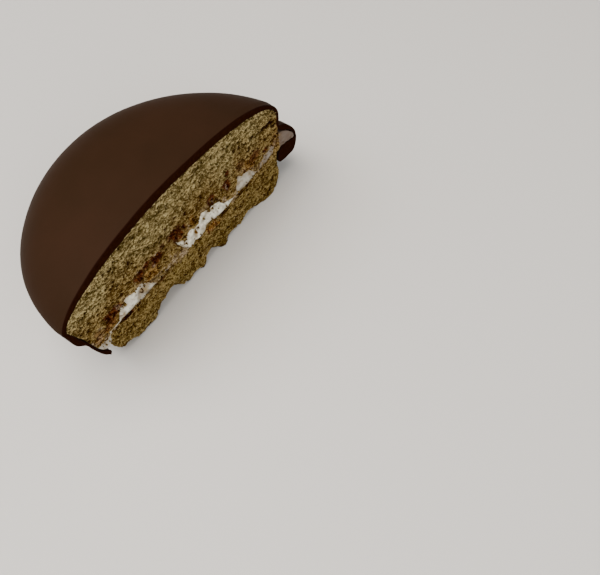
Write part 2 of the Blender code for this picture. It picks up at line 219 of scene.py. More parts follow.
# Pale marshmallow smeared over the crumb: (x, z, half width, half height, strength).
SMEARED = (
    (-41.6, 20.7, 0.7, 0.7, 0.8), (-42.6, 17.9, 0.5, 1.2, 0.6), (-45.4, 18.0, 0.5, 1.0, 0.8),
    (-34.4, 21.9, 0.7, 1.0, 0.5), (-24.7, 26.2, 0.7, 0.4, 0.6), (-22.0, 26.4, 0.9, 0.3, 0.6),
    (-17.0, 25.5, 0.9, 0.3, 0.6), (-18.8, 22.0, 0.6, 0.5, 0.4), (-3.9, 22.9, 0.5, 1.2, 0.6),
    (7.6, 23.0, 0.3, 1.0, 0.4), (14.3, 22.2, 0.3, 1.0, 0.4), (35.8, 19.8, 0.7, 0.8, 0.7),
    (-37.0, 15.2, 1.8, 0.4, 1.0), (-16.6, 15.6, 3.2, 0.4, 0.8), (-13.9, 15.6, 0.8, 0.6, 0.9),
    (-11.6, 17.0, 1.3, 1.8, 0.6), (-8.2, 15.6, 2.2, 2.2, 0.7), (16.6, 15.2, 1.8, 0.9, 0.9),
    (12.2, 18.8, 0.7, 1.3, 0.6), (-14.2, 16.4, 1.0, 1.0, 0.6),
    (29.2, 15.5, 1.8, 0.5, 0.8), (5.0, 12.6, 0.7, 0.4, 0.6), (6.6, 14.2, 0.4, 0.4, 0.6),
    (31.2, 16.6, 0.6, 0.6, 0.5), (-16.8, 18.0, 2.2, 0.35, 0.7), (-13.0, 19.6, 0.5, 1.2, 0.5),
    (-24.6, 17.6, 1.0, 1.8, 0.5), (-40.6, 15.4, 1.2, 0.7, 0.6),
)
# Pits and short cracks in the crumb, pressed in a little and painted dark as their shade:
# (x, z, half width, half height, strength).
PITS = (
    (36.5, 29.3, 1.3, 0.8, 1.0), (38.3, 28.5, 1.3, 0.4, 1.0), (33.4, 29.8, 1.5, 0.5, 1.0),
    (30.6, 29.9, 1.2, 0.4, 1.0), (27.9, 30.6, 0.9, 0.4, 0.8), (39.4, 26.8, 1.5, 0.4, 1.0),
    (21.8, 32.2, 0.5, 0.7, 0.9), (26.1, 27.1, 0.6, 0.6, 0.9), (28.3, 25.2, 0.6, 0.5, 0.8),
    (15.4, 37.4, 0.8, 0.4, 0.8), (31.4, 32.4, 0.7, 0.3, 0.7), (-7.3, 31.2, 0.9, 0.4, 1.0),
    (-26.1, 32.0, 0.4, 0.8, 0.7), (-22.3, 38.9, 0.8, 0.4, 0.8), (-34.3, 36.8, 0.4, 0.5, 0.8),
    (-28.9, 29.4, 0.4, 0.6, 0.8), (-33.2, 30.0, 0.4, 0.8, 0.6), (-11.6, 30.6, 0.7, 0.5, 0.7),
    (-31.6, 24.0, 0.8, 0.7, 0.8), (-3.6, 28.8, 0.7, 0.8, 0.6), (-14.0, 38.6, 0.5, 0.4, 0.8),
)
# How far behind the cut the dragged crumb sinks where marshmallow shows, how far crumb may stand
# out of the cut, and how far it may on the lower cake, with its torn edge.
SUNK_CRUMB = 1.8
LOWEST_CRUMB = 1.2
LOWEST_TORN_CRUMB = 1.55
# How far behind the cut its tones and relief die away, the height over which crumb stops standing
# out of the torn edge, and how much that takes off the crumb's relief for each millimetre.
CUT_DEPTH = 1.5
OUT_TOP = 7.0
OUT_FADE = 6.0
OUT_CALM = 0.45
# How thick the dragged crumb is behind the depth to which it sinks.
DRAGGED_BACK = 0.6

# The coat: how far slow waves press its skin in, how uneven its inside and its outside are at the
# cut, how far behind the cut these reach, and the radii of its two cut edges.
SKIN_WAVES = 0.08
UNEVEN_INSIDE, INSIDE_REACH = 0.3, 1.2
UNEVEN_OUTSIDE, OUTSIDE_REACH = 0.25, 2.5
OUTER_EDGE_RADIUS, INNER_EDGE_RADIUS = 0.22, 0.3
# No wave or radius is more than these shares of the coat's thickness.
SKIN_LIMIT, UNEVEN_LIMIT, RADIUS_LIMIT = 0.2, 0.25, 0.45

# Where loose crumbs lie: (x from and to), (z from and to), how many, and their size.
LOOSE_CRUMBS = (
    ((7.0, 14.5), (16.0, 20.0), 9, 0.22), ((-9.0, 16.0), (14.0, 15.4), 26, 0.28),
    ((-34.0, -20.0), (14.2, 15.4), 22, 0.28), ((-28.0, -22.0), (18.0, 21.0), 7, 0.3),
    ((18.6, 27.0), (14.2, 16.0), 8, 0.25), ((-9.0, -5.0), (17.0, 20.6), 8, 0.25),
    ((-34.0, -31.0), (19.2, 21.0), 6, 0.28), ((-20.0, -10.0), (14.4, 16.6), 18, 0.32),
    ((30.0, 38.0), (15.0, 18.0), 8, 0.22), ((3.0, 8.4), (11.4, 15.4), 14, 0.4),
    ((-44.0, -39.6), (12.0, 16.0), 10, 0.25),
)

# How finely each piece is worked out, as numbers of steps along and down it.
COAT_ALONG, DOME_DOWN, SKIRT_DOWN, BAND_ACROSS = 260, 56, 44, 8
CAKE_ALONG, UPPER_DOWN, LOWER_DOWN, MARSHMALLOW_DOWN = 560, 128, 84, 44
DRAGGED_ALONG, DRAGGED_DOWN = 540, 80

# How many numbers the table of random numbers holds, and how near in millimetres two points are
# merged.
TABLE = 4096
MERGED = 0.002

# The camera's place in millimetres, the way it faces, its turn and roll in degrees, and its lens.
CAMERA_PLACE = (-84.53, -93.31, 181.64)
CAMERA_FORWARD = (0.43542, 0.29845, -0.84932)
CAMERA_TURN, CAMERA_ROLL = 55.572, -0.951
LENS, SENSOR = 42.0, 36.0

# The floor's half width and the point that the lamps face, in metres.
FLOOR_HALF = 2.0
LAMP_TARGET = (0, 0, 0.02)


def ease(value):
    """A smooth step from 0 to 1."""
    value = np.clip(value, 0, 1)
    return value ** 2 * (3 - 2 * value)


def near_cut(sheet, depth=CUT_DEPTH):
    """From 1 on the cut to 0 at a depth behind it."""
    return 1 - ease(sheet[..., 1] / depth)


def read_off(table, x):
    """The value at each x, on straight lines between the places of a table of (x, value)."""
    return np.interp(x, *np.transpose(table))


def closer_at_ends(steps, pull):
    """Places from 0 to 1, closer together at both ends: s less a share of a sine wave."""
    s = np.linspace(0, 1, steps + 1)
    return s - pull * np.sin(2 * math.pi * s) / (2 * math.pi)


def scattered(cell, seed):
    """Four random numbers from 0 to 1 for each lattice cell: its whole numbers are looked up in
    turn in one shuffled table, and the last place gives the numbers."""
    rng = np.random.default_rng(seed)
    shuffle = rng.permutation(TABLE)
    numbers = rng.random((TABLE, 4))
    place = 0
    for axis in range(3):
        place = shuffle[(place + cell[..., axis]) % TABLE]
    return numbers[place]


def waves(points, size, seed, octaves=3):
    """Smooth random heights from -1 to 1: values at the corners of a lattice of that size are
    blended by a smooth step, and finer lattices of half the size and height are added."""
    total = 0
    for octave in range(octaves):
        place = points / size * 2 ** octave + 7.31 * octave
        cell = np.floor(place).astype(int)
        part = ease(place - cell)
        layer = 0
        for corner in product((0, 1), repeat=3):
            weight = np.prod(np.where(corner, part, 1 - part), axis=-1)
            layer = layer + weight * scattered(cell + corner, seed + octave)[..., 0]
        total = total + (2 * layer - 1) * 0.5 ** octave
    return total / (2 - 0.5 ** (octaves - 1))


def bubbles(points, size, smallest, largest, seed):
    """Depth of round hollows: each lattice cell has one at a random place, mostly small, and a
    point is as deep as the deepest sphere that it is in."""
    place = points / size
    cell = np.floor(place).astype(int)
    depth = 0
    for step in product((-1, 0, 1), repeat=3):
        random = scattered(cell + step, seed)
        radius = smallest + (largest - smallest) * random[..., 3] ** 2
        gap = ((place - cell - step - random[..., :3]) ** 2).sum(axis=-1)
        depth = np.maximum(depth, np.sqrt(np.clip((radius / size) ** 2 - gap, 0, None)))
    return depth * size


def patches(points, places, seed):
    """From 0 outside to each place's strength inside a few oval places on the cut, with a
    wandering outline."""
    wander = 0.9 * waves(points, 1.6, seed)
    most = 0
    for x, z, half_width, half_height, strength in places:
        away = np.hypot((points[..., 0] - x) / half_width, (points[..., 2] - z) / half_height)
        most = np.maximum(most, strength * (1 - ease((away + wander - 0.5) / 0.9)))
    return most


def depth_inside(points, outline):
    """Distance in from an outline on the cut, less than 0 outside: the nearest place on its
    straight stretches gives it, and an odd number of stretches above a point says inside."""
    x, z = points[..., 0], points[..., 2]
    nearest = np.full(x.shape, np.inf)
    inside = np.zeros(x.shape, bool)
    for (x0, z0), (x1, z1) in zip(outline, outline[1:] + outline[:1]):
        wide, high = x1 - x0, z1 - z0
        along = np.clip(((x - x0) * wide + (z - z0) * high) / (wide ** 2 + high ** 2), 0, 1)
        nearest = np.minimum(nearest, np.hypot(x - x0 - along * wide, z - z0 - along * high))
        if wide:
            inside ^= ((x0 > x) != (x1 > x)) & (z < z0 + (x - x0) * high / wide)
    return np.where(inside, nearest, -nearest)


def reach(near_x, far_x, back_y, turn):
    """Distance from the foot of the pole, at each turn, to the circle through an arc's near
    end, far end and back."""
    foot = near_x + POLE * (far_x - near_x)
    middle = (near_x + far_x) / 2
    radius = (((far_x - near_x) / 2) ** 2 + back_y ** 2) / (2 * back_y)
    centre_y = back_y - radius
    along = np.cos(turn) * (middle - foot) + np.sin(turn) * centre_y
    return along + np.sqrt(radius ** 2 - (middle - foot) ** 2 - centre_y ** 2 + along ** 2)


def mixed_heights(near, far, back, turn):
    """Heights at the near end, far end and back, mixed by the squares of the direction's parts."""
    c = np.cos(turn)
    return near * np.minimum(c, 0) ** 2 + far * np.maximum(c, 0) ** 2 + back * np.sin(turn) ** 2


def rings(specs, turn):
    """A row of points for each level arc: the foot of the pole plus the reach at each turn."""
    near_x, near_z, far_x, far_z, back_y, back_z = np.array(specs, float).T[:, :, None]
    out = reach(near_x, far_x, back_y, turn)
    foot = near_x + POLE * (far_x - near_x)
    height = mixed_heights(near_z, far_z, back_z, turn)
    return np.stack([foot + out * np.cos(turn), out * np.abs(np.sin(turn)), height], axis=-1)


def dome(rim, top, curves, share, turn):
    """Points of a dome at a share of its rim's reach: in each direction its height falls from
    the top to the rim by (1 - share^power)^root."""
    near_x, near_z, far_x, far_z, back_y, back_z = rim
    foot = near_x + POLE * (far_x - near_x)
    out = share * reach(near_x, far_x, back_y, turn)
    heights = []
    for low, (power, root) in zip((near_z, far_z, back_z), curves):
        heights.append(low + (top - low) * (1 - np.clip(share, 0, 1) ** power) ** root)
    height = mixed_heights(*heights, turn)
    x, y = foot + out * np.cos(turn), out * np.abs(np.sin(turn))
    return np.stack([x, y, height + 0 * out], axis=-1)


def over_dome(rim, top, curves, points):
    """The points, moved up or down onto a dome."""
    near_x, far_x, back_y = rim[0], rim[2], rim[4]
    x = points[..., 0] - near_x - POLE * (far_x - near_x)
    turn = np.arctan2(points[..., 1], x)
    share = np.hypot(x, points[..., 1]) / reach(near_x, far_x, back_y, turn)
    lifted = points.copy()
    lifted[..., 2] = dome(rim, top, curves, share, turn)[..., 2]
    return lifted


def smooth(knots, places):
    """A Catmull-Rom curve through the knots, at places counted in knots from 0."""
    knots = np.array(knots, float)
    padded = np.vstack([2 * knots[0] - knots[1], knots, 2 * knots[-1] - knots[-2]])
    start = np.minimum(places.astype(int), len(knots) - 2)
    t = (places - start)[:, None]
    a, b, c, d = (padded[start + i] for i in range(4))
    return 0.5 * (2 * b + (c - a) * t + (2 * a - 5 * b + 4 * c - d) * t ** 2
                  + (3 * b - a - 3 * c + d) * t ** 3)


def side_rings(knots, steps, turn):
    """Rows of points down a side that runs smoothly through a few level arcs."""
    return rings(smooth(knots, np.linspace(0, len(knots) - 1, steps + 1)), turn)


def chord(rim, share):
    """Points along the cut between a ring's two ends."""
    return rim[0] + (rim[-1] - rim[0]) * share[:, None]


def across(rim, line, shares):
    """Rows of points that run from a ring across to a line of points on the cut."""
    shares = np.array(shares)[:, None, None]
    return rim * (1 - shares) + line * shares


def ragged_edge(edge, x, ragged, seed):
    """Height of an edge along the cut, with a ragged outline of that size between its ends."""
    along = np.stack([x, 0 * x, 0 * x], axis=-1)
    inside = ease((x - edge[0][0]) / 2) * ease((edge[-1][0] - x) / 2)
    return read_off(edge, x) + ragged * inside * waves(along, 2.2, seed)


def layer_top(rim, share, lift):
    """The top of the marshmallow, raised by lift: its uneven edge on the cut eases into a level
    top, which eases down to the rim."""
    line = chord(rim, share)
    line[1:-1, 2] = ragged_edge(MARSHMALLOW_EDGE, line[1:-1, 0], 0.5, 21) + lift
    shares = np.array((0, 0.3, 0.6, 0.78, 0.9, 0.96, 1))
    rows = across(rim, line, shares)
    level = MARSHMALLOW_LEVEL + lift - rows[:, 1:-1, 2]
    rows[:, 1:-1, 2] += level * ease(rows[:, 1:-1, 1] / DRAG_DEPTH) * ease(shares / 0.6)[:, None]
    return rows


def cut_face(side, low, high, share, steps, fade):
    """Grid across the cut: straight lines from the upper edge down to the lower one, pulled at
    both ends to the side's profile by a share that dies away with the power given."""
    down = np.linspace(0, 1, steps + 1)
    straight = high + (low - high) * down[:, None, None]
    place = down * (len(side) - 1)
    start = np.minimum(place.astype(int), len(side) - 2)
    part = (place - start)[:, None]
    grid = straight.copy()
    for column, weight in ((0, (1 - share) ** fade), (-1, share ** fade)):
        profile = side[start, column] * (1 - part) + side[start + 1, column] * part
        grid += (profile - straight[:, column])[:, None, :] * weight[:, None]
    nearest = np.round(place).astype(int)
    grid[:, 0] = side[nearest, 0]
    grid[:, -1] = side[nearest, -1]
    return grid


def placed(points):
    """Millimetres of this script to metres of the frame."""
    return points.reshape(-1, 3) * MM + ORIGIN


def surface(name, sheets, finishes, values=None):
    """One closed piece from grids of points, each with its finish: neighbours are joined into
    four-sided faces, and points that coincide are merged. Points are kept inside the frame's box.
    Values are numbers at each point, by name, for the material."""
    quads = []
    slots = []
    start = 0
    worn = list(dict.fromkeys(finishes))
    for sheet, finish in zip(sheets, finishes):
        rows, columns = sheet.shape[:2]
        index = start + np.arange(rows * columns).reshape(rows, columns)
        corners = [index[:-1, :-1], index[:-1, 1:], index[1:, 1:], index[1:, :-1]]
        quads.append(np.stack(corners, axis=-1))
        slots.append(np.full((rows - 1) * (columns - 1), worn.index(finish)))
        start += rows * columns
    quads = np.concatenate([quad.reshape(-1, 4) for quad in quads])
    points = np.concatenate([placed(sheet) for sheet in sheets])
    mesh = bpy.data.meshes.new(name)
    mesh.vertices.add(start)
    mesh.vertices.foreach_set("co", np.clip(points, *CAD_BOX).ravel())
    mesh.loops.add(quads.size)
    mesh.loops.foreach_set("vertex_index", quads.ravel())
    mesh.polygons.add(len(quads))
    mesh.polygons.foreach_set("loop_start", np.arange(0, quads.size, 4))
    for finish in worn:
        mesh.materials.append(finish)
    mesh.polygons.foreach_set("material_index", np.concatenate(slots))
    for label, grids in (values or {}).items():
        attribute = mesh.attributes.new(label, "FLOAT", "POINT")
        attribute.data.foreach_set("value", np.concatenate([grid.ravel() for grid in grids]))
    mesh.update(calc_edges=True)
    bm = bmesh.new()
    bm.from_mesh(mesh)
    bmesh.ops.remove_doubles(bm, verts=bm.verts, dist=MERGED * MM)
    bmesh.ops.recalc_face_normals(bm, faces=bm.faces)
    bm.to_mesh(mesh)
    bm.free()
    mesh.shade_smooth()
    piece = bpy.data.objects.new(name, mesh)
    bpy.context.scene.collection.objects.link(piece)
    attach(piece, "root")
    return piece


def node(tree, kind, inputs=None, stops=(), **settings):
    """Adds a node with its settings: each input gets the value, or the link from the socket,
    that is given for it, and a colour ramp gets its stops."""
    result = tree.nodes.new(kind)
    for key, value in settings.items():
        setattr(result, key, value)
    for key, value in (inputs or {}).items():
        if isinstance(value, bpy.types.NodeSocket):
            tree.links.new(value, result.inputs[key])
        else:
            result.inputs[key].default_value = value
    for i, (position, colour) in enumerate(stops):
        elements = result.color_ramp.elements
        element = elements[i] if i < 2 else elements.new(position)
        element.position = position
        element.color = linear(colour)
    return result


def linear(colour):
    """An sRGB hex colour as linear red, green, blue and alpha."""
    channels = np.array([int(colour[i:i + 2], 16) for i in (1, 3, 5)]) / 255
    channels = np.where(channels <= 0.04045, channels / 12.92, ((channels + 0.055) / 1.055) ** 2.4)
    return (*channels.tolist(), 1.0)


def empty_material(name, **settings):
    """A new material, its node tree and its Principled shader with constant inputs set."""
    result = bpy.data.materials.new(name)
    result.use_nodes = True
    tree = result.node_tree
    shader = tree.nodes["Principled BSDF"]
    for key, value in settings.items():
        shader.inputs[key.replace("_", " ")].default_value = value
    return result, tree, shader


def per_metre(millimetres):
    """A noise texture's scale for a pattern of that size."""
    return 1 / (millimetres * MM)


def chocolate_coating():
    """Compound chocolate, poured warm and set without tempering: a matt satin skin, a little
    lighter and redder in places, darker where the knife broke its edge."""
    result, tree, shader = empty_material("chocolate_coating", IOR=1.45)
    shader.inputs["Specular IOR Level"].default_value = 0.015
    shader.inputs["Roughness"].default_value = 0.5
    coords = node(tree, "ShaderNodeTexCoord").outputs["Object"]
    broken = node(tree, "ShaderNodeAttribute", attribute_name="broken").outputs["Fac"]
    cloud = node(tree, "ShaderNodeTexNoise", {"Vector": coords, "Scale": per_metre(18), "Detail": 5.0})
    skin = node(tree, "ShaderNodeValToRGB", {"Fac": cloud.outputs["Fac"]},
                stops=((0.35, "#2d1e13"), (0.65, "#312015")))
    colour = node(tree, "ShaderNodeMix", {0: broken, 6: skin.outputs["Color"], 7: linear("#1f0b04")},
                  data_type="RGBA")
    wave = node(tree, "ShaderNodeTexNoise", {"Vector": coords, "Scale": per_metre(7), "Detail": 4.0})
    wavy = node(tree, "ShaderNodeBump",
                {"Height": wave.outputs["Fac"], "Strength": 1.0, "Distance": 0.06 * MM})
    tree.links.new(colour.outputs[2], shader.inputs["Base Color"])
    tree.links.new(wavy.outputs["Normal"], shader.inputs["Normal"])
    return result


def broken_chocolate():
    """The same chocolate where it snapped at the cut: near-black red-brown, dull and grainy."""
    result, tree, shader = empty_material("broken_chocolate", IOR=1.45, Roughness=0.6)
    shader.inputs["Specular IOR Level"].default_value = 0.0
    coords = node(tree, "ShaderNodeTexCoord").outputs["Object"]
    grain = node(tree, "ShaderNodeTexNoise", {"Vector": coords, "Scale": per_metre(0.7), "Detail": 3.0})
    snapped = node(tree, "ShaderNodeValToRGB", {"Fac": grain.outputs["Fac"]},
                   stops=((0.3, "#1f0b04"), (0.7, "#2a1307")))
    grainy = node(tree, "ShaderNodeBump",
                  {"Height": grain.outputs["Fac"], "Strength": 0.6, "Distance": 0.05 * MM})
    tree.links.new(snapped.outputs["Color"], shader.inputs["Base Color"])
    tree.links.new(grainy.outputs["Normal"], shader.inputs["Normal"])
    return result


def cake_crumb(name, dry, warm):
    """Baked sponge, cut with a knife: quite matt, with a painted highlight on the torn crumb tips and
    painted shade down in the bubbles, browner towards the marshmallow, dark red-brown where it is
    soaked and orange-brown below that. Each tone runs from painted shade in the bubbles through
    painted shade on the crumb and the crumb's own tone to a painted highlight on the tips, with
    random grain on top."""
    result, tree, shader = empty_material(name, Roughness=0.9, IOR=1.4)
    shader.inputs["Specular IOR Level"].default_value = 0.03
    coords = node(tree, "ShaderNodeTexCoord").outputs["Object"]
    drawn = node(tree, "ShaderNodeMapping", {"Vector": coords, "Scale": (0.6, 1.0, 1.0)}).outputs[0]
    grain = node(tree, "ShaderNodeTexNoise", {"Vector": drawn, "Scale": per_metre(0.25), "Detail": 3.0})
    height, warmth, soak_and_shade, syrup, smear = (
        node(tree, "ShaderNodeAttribute", attribute_name=value).outputs["Fac"]
        for value in ("height", "warmth", "soak_and_shade", "syrup", "smear")
    )
    level = node(tree, "ShaderNodeMath", {0: grain.outputs["Fac"], 1: 1.7, 2: height},
                 operation="MULTIPLY_ADD")
    level = node(tree, "ShaderNodeMath", {0: level.outputs[0], 1: 0.85}, operation="SUBTRACT")
    # The soaked tones also paint shade: in the pits, in the far seam and under open marshmallow.
    soaked = ("#170200", "#240701", "#361304", "#693b19")
    syrupy = ("#2c0c00", "#4c2402", "#6c3f08", "#a87b3a")
    pale = ("#56402d", "#826d53", "#a69174", "#cdbba1")
    tone = None
    for share, colours in (
        (None, dry), (warmth, warm), (syrup, syrupy), (soak_and_shade, soaked), (smear, pale),
    ):
        # Stops by height: painted shade in the bubbles, painted shade on the crumb, the crumb's own tone
        # and a painted highlight on the tips.
        ramp = node(tree, "ShaderNodeValToRGB", {"Fac": level.outputs[0]},
                    stops=tuple(zip((0.1, 0.95, 0.36, 0.62), (colours[0], colours[3], *colours[1:3]))))
        if tone is None:
            tone = ramp.outputs["Color"]
        else:
            tone = node(tree, "ShaderNodeMix", {0: share, 6: tone, 7: ramp.outputs["Color"]},
                        data_type="RGBA").outputs[2]
    fine = node(tree, "ShaderNodeTexNoise", {"Vector": drawn, "Scale": per_metre(0.35), "Detail": 3.0})
    bump = node(tree, "ShaderNodeBump",
                {"Height": fine.outputs["Fac"], "Strength": 0.8, "Distance": 0.15 * MM})
    tree.links.new(tone, shader.inputs["Base Color"])
    tree.links.new(bump.outputs["Normal"], shader.inputs["Normal"])
    return result


def whipped_marshmallow():
    """Whipped sugar and gelatine: soft white, light passes a little way in, and the knife left it
    matt, with crumb rubbed into it in places. Painted shade greys it in places."""
    result, tree, shader = empty_material("whipped_marshmallow", Roughness=0.5, IOR=1.45)
    shader.inputs["Subsurface Weight"].default_value = 0.3
    shader.inputs["Subsurface Radius"].default_value = (0.002, 0.0018, 0.0015)
    coords = node(tree, "ShaderNodeTexCoord").outputs["Object"]
    stain, dull = (node(tree, "ShaderNodeAttribute", attribute_name=value).outputs["Fac"]
                   for value in ("stain", "dull"))
    cloud = node(tree, "ShaderNodeTexNoise", {"Vector": coords, "Scale": per_metre(2.6), "Detail": 4.0})
    white = node(tree, "ShaderNodeValToRGB", {"Fac": cloud.outputs["Fac"]},
                 stops=((0.36, "#bab199"), (0.56, "#fbf7e4")))
    # Painted shade: the white is greyed by the share read from the table of x.
    grey = node(tree, "ShaderNodeMix", {0: dull, 6: white.outputs["Color"], 7: linear("#5e4a3a")},
                data_type="RGBA")
    crumb = node(tree, "ShaderNodeTexNoise", {"Vector": coords, "Scale": per_metre(0.8), "Detail": 3.0})
    crumbs = node(tree, "ShaderNodeValToRGB", {"Fac": crumb.outputs["Fac"]},
                  stops=((0.35, "#4d3410"), (0.65, "#a5884c")))
    tone = node(tree, "ShaderNodeMix", {0: stain, 6: grey.outputs[2], 7: crumbs.outputs["Color"]},
                data_type="RGBA")
    fine = node(tree, "ShaderNodeTexNoise", {"Vector": coords, "Scale": per_metre(0.8), "Detail": 3.0})
    bump = node(tree, "ShaderNodeBump",
                {"Height": fine.outputs["Fac"], "Strength": 0.5, "Distance": 0.1 * MM})
    tree.links.new(tone.outputs[2], shader.inputs["Base Color"])
    tree.links.new(bump.outputs["Normal"], shader.inputs["Normal"])
    return result


def pale_floor():
    """A plain pale board to stand on: matt paint."""
    result, _, shader = empty_material("pale_floor", Roughness=0.6)
    shader.inputs["Base Color"].default_value = linear("#d6d3ce")
    return result


def make_coat(skin, broken_edge):
    """The chocolate shell. Its outer and inner surfaces run from the pole down to the lip in
    step, so that the cut edges are rounded towards each other and the cut band between them
    closes the shell. Slow waves press the outer surface in a little."""
    turn = math.pi * (1 - closer_at_ends(COAT_ALONG, 0.93))
    share = closer_at_ends(DOME_DOWN, 0.9)[:, None]
    knots = (OUTER_RIM, *OUTER_SKIRT, *LIP, *INNER_SKIRT, INNER_RIM)
    tip = len(OUTER_SKIRT) + 2
    down = smooth(knots, np.linspace(0, tip, SKIRT_DOWN + 1))
    up = smooth(knots, np.linspace(len(knots) - 1, tip, SKIRT_DOWN + 1))
    outer = np.vstack([dome(OUTER_RIM, OUTER_TOP, OUTER_CURVES, share, turn), rings(down[1:], turn)])
    inner = np.vstack([dome(INNER_RIM, INNER_TOP, INNER_CURVES, share, turn), rings(up[1:], turn)])
    through = inner - outer
    thickness = np.linalg.norm(through, axis=-1, keepdims=True)
    through /= np.maximum(thickness, 0.001)
    pressed = SKIN_WAVES * (1 + waves(outer, 11.0, 34, 2)[..., None])
    outer += through * np.minimum(pressed, SKIN_LIMIT * thickness)
    uneven = UNEVEN_INSIDE * (1 + waves(inner * (1, 0, 1), 2.2, 35)) * near_cut(inner, INSIDE_REACH)
    inner += through * np.minimum(uneven[..., None], UNEVEN_LIMIT * thickness)
    kinked = UNEVEN_OUTSIDE * (1 + waves(outer * (1, 0, 1), 6.0, 36, 2)) * near_cut(outer, OUTSIDE_REACH)
    outer += through * np.minimum(kinked[..., None], UNEVEN_LIMIT * thickness)
    for sheet, way, radius, seed in (
        (outer, 1, OUTER_EDGE_RADIUS, 31), (inner, -1, INNER_EDGE_RADIUS, 32),
    ):
        chips = 1 + 0.7 * waves(sheet * (1, 0, 1), 1.4, seed)[..., None]
        radius = np.minimum(radius * chips, RADIUS_LIMIT * thickness)
        lean = np.clip(1 - sheet[..., 1:2] / np.maximum(radius, 0.001), 0, 1)
        sheet += way * through * radius * (1 - np.sqrt(1 - lean ** 2))
    edge_out = np.vstack([outer[::-1, 0], outer[1:, -1]])
    edge_in = np.vstack([inner[::-1, 0], inner[1:, -1]])
    part = np.linspace(0, 1, BAND_ACROSS + 1)[:, None, None]
    band = edge_out * (1 - part) + edge_in * part
    rough = 0.12 + 0.14 * waves(band, 1.1, 33, 4)
    band[..., 1] -= rough * np.sin(math.pi * part[..., 0])
    shell = np.vstack([outer, inner[-2::-1]])
    broken = 1 - ease((shell[..., 1] - 0.15) / 0.3)
    values = {"broken": [broken, np.ones(band.shape[:2])]}
    return surface("coat_surface", [shell, band], [skin, broken_edge], values)


def crumble(sheet, seed):
    """Crumb of a cut or torn cake surface, drawn out a little along the cut: round lumps with
    creases between them, fine grain, many small bubbles and a few larger ones. Gives how far each
    point is pushed in, in millimetres, and its height from 0 in a bubble to 1 on a tip, which the
    material turns into painted shade in the bubbles and a painted highlight on the tips."""
    away = near_cut(sheet)[..., None]
    place = sheet * np.concatenate([0 * away + 1, 1 - away, 0 * away + 1], axis=-1)
    flat = place[..., 0] * 0
    bend = np.stack([waves(place, 1.1, seed + 5), flat, waves(place, 1.1, seed + 6)], axis=-1)
    bent = place * (0.62, 1, 1) + 0.3 * bend
    pores = bubbles(bent, 0.58, 0.07, 0.38, seed)
    holes = bubbles(bent, 2.4, 0.1, 0.62, seed + 1)
    lumps = bubbles(bent, 0.46, 0.2, 0.37, seed + 2)
    rolling = waves(place, 4.5, seed + 3)
    grain = waves(bent, 0.4, seed + 4, 2)
    layers = waves(place * (0.3, 1, 1), 1.2, seed + 7)
    relief = 0.66 * lumps + 0.24 * grain + 0.1 * layers - 1.1 * pores - 0.8 * holes
    height = np.clip(0.53 + 1.5 * relief + 0.08 * (rolling + layers), 0, 1)
    return 0.12 - relief - 0.22 * rolling, height


def crumb_tones(sheet, height, tint=0.0):
    """The numbers that the crumb's material reads: height, and by place warmth, soak, syrup and
    smear, which are there on the cut alone. Warmth grows downwards to the marshmallow. Height sets
    the painted shade and highlight and is lowered as painted shade under open marshmallow; soak
    also paints shade in a few places."""
    on_cut = near_cut(sheet)
    above = sheet[..., 2] - read_off(MARSHMALLOW_EDGE, sheet[..., 0])
    by_edge = 1 - ease(np.abs(above - 0.6) / 2.6)
    streaks = ease((waves(sheet * (0.6, 1, 1), 1.0, 56) - 0.1) / 0.3) * by_edge
    smeared = patches(sheet, SMEARED, 52) * ease(0.75 + 0.9 * waves(sheet, 0.9, 55))
    smear = np.maximum(smeared, 0.25 * streaks)
    soak_and_shade = 1.3 * patches(sheet, SOAKED_AND_SHADED, 51) * ease(1.1 + 1.3 * waves(sheet, 1.1, 57))
    warmth = 1 - ease((above - 5 + 2.5 * waves(sheet, 5.0, 53)) / 13)
    return {
        "height": height * (1 - on_cut * patches(sheet, SHADED, 58)),
        "warmth": np.clip(warmth + tint, 0, 1),
        "soak_and_shade": on_cut * np.clip(soak_and_shade, 0, 1),
        "syrup": on_cut * patches(sheet, SYRUPY, 54),
        "smear": on_cut * smear * ease(0.2 + height / 0.7),
    }


def by_name(tones):
    """Numbers of several grids, gathered by name."""
    return {label: [tone[label] for tone in tones] for label in tones[0]}


def make_upper_cake(crumb):
    """The domed upper cake: its cut face, the dome under the coat, the short side and the
    underside that follows the marshmallow."""
    share = np.linspace(0, 1, CAKE_ALONG + 1)
    turn = math.pi * (1 - share)
    side = side_rings((INNER_RIM, *UPPER_SIDE), 12, turn)
    signed = -np.cos(math.pi * share)
    foot = INNER_RIM[0] + POLE * (INNER_RIM[2] - INNER_RIM[0])
    x = foot + np.where(signed < 0, signed * (foot - INNER_RIM[0]), signed * (INNER_RIM[2] - foot))
    line = np.stack([x, 0 * x, 0 * x], axis=-1)
    top = over_dome(INNER_RIM, INNER_TOP, INNER_CURVES, across(side[0], line, closer_at_ends(12, 0.5)))
    top[0] = side[0]
    under = layer_top(side[-1], share, 0)
    face = cut_face(side, under[-1], top[-1], share, UPPER_DOWN, 4)
    sheets = [top, side, under, face]
    tones = []
    for sheet in sheets:
        push, height = crumble(sheet, 40)
        # Pits: height 0 and the soaked tone paint the shade inside them, and they are pressed in a little.
        opened = patches(sheet, PITS, 61)
        tone = crumb_tones(sheet, height * (1 - opened))
        tone["soak_and_shade"] = np.maximum(tone["soak_and_shade"], opened)
        on_cut = near_cut(sheet)
        sheet[..., 1] += on_cut * (push + 0.3 * opened + 0.25 * tone["soak_and_shade"] - 0.2 * tone["smear"])
        sheet[..., 1] = np.maximum(sheet[..., 1], -LOWEST_CRUMB)
        tones.append(tone)
    return surface("upper_crumb", sheets, [crumb] * 4, by_name(tones))


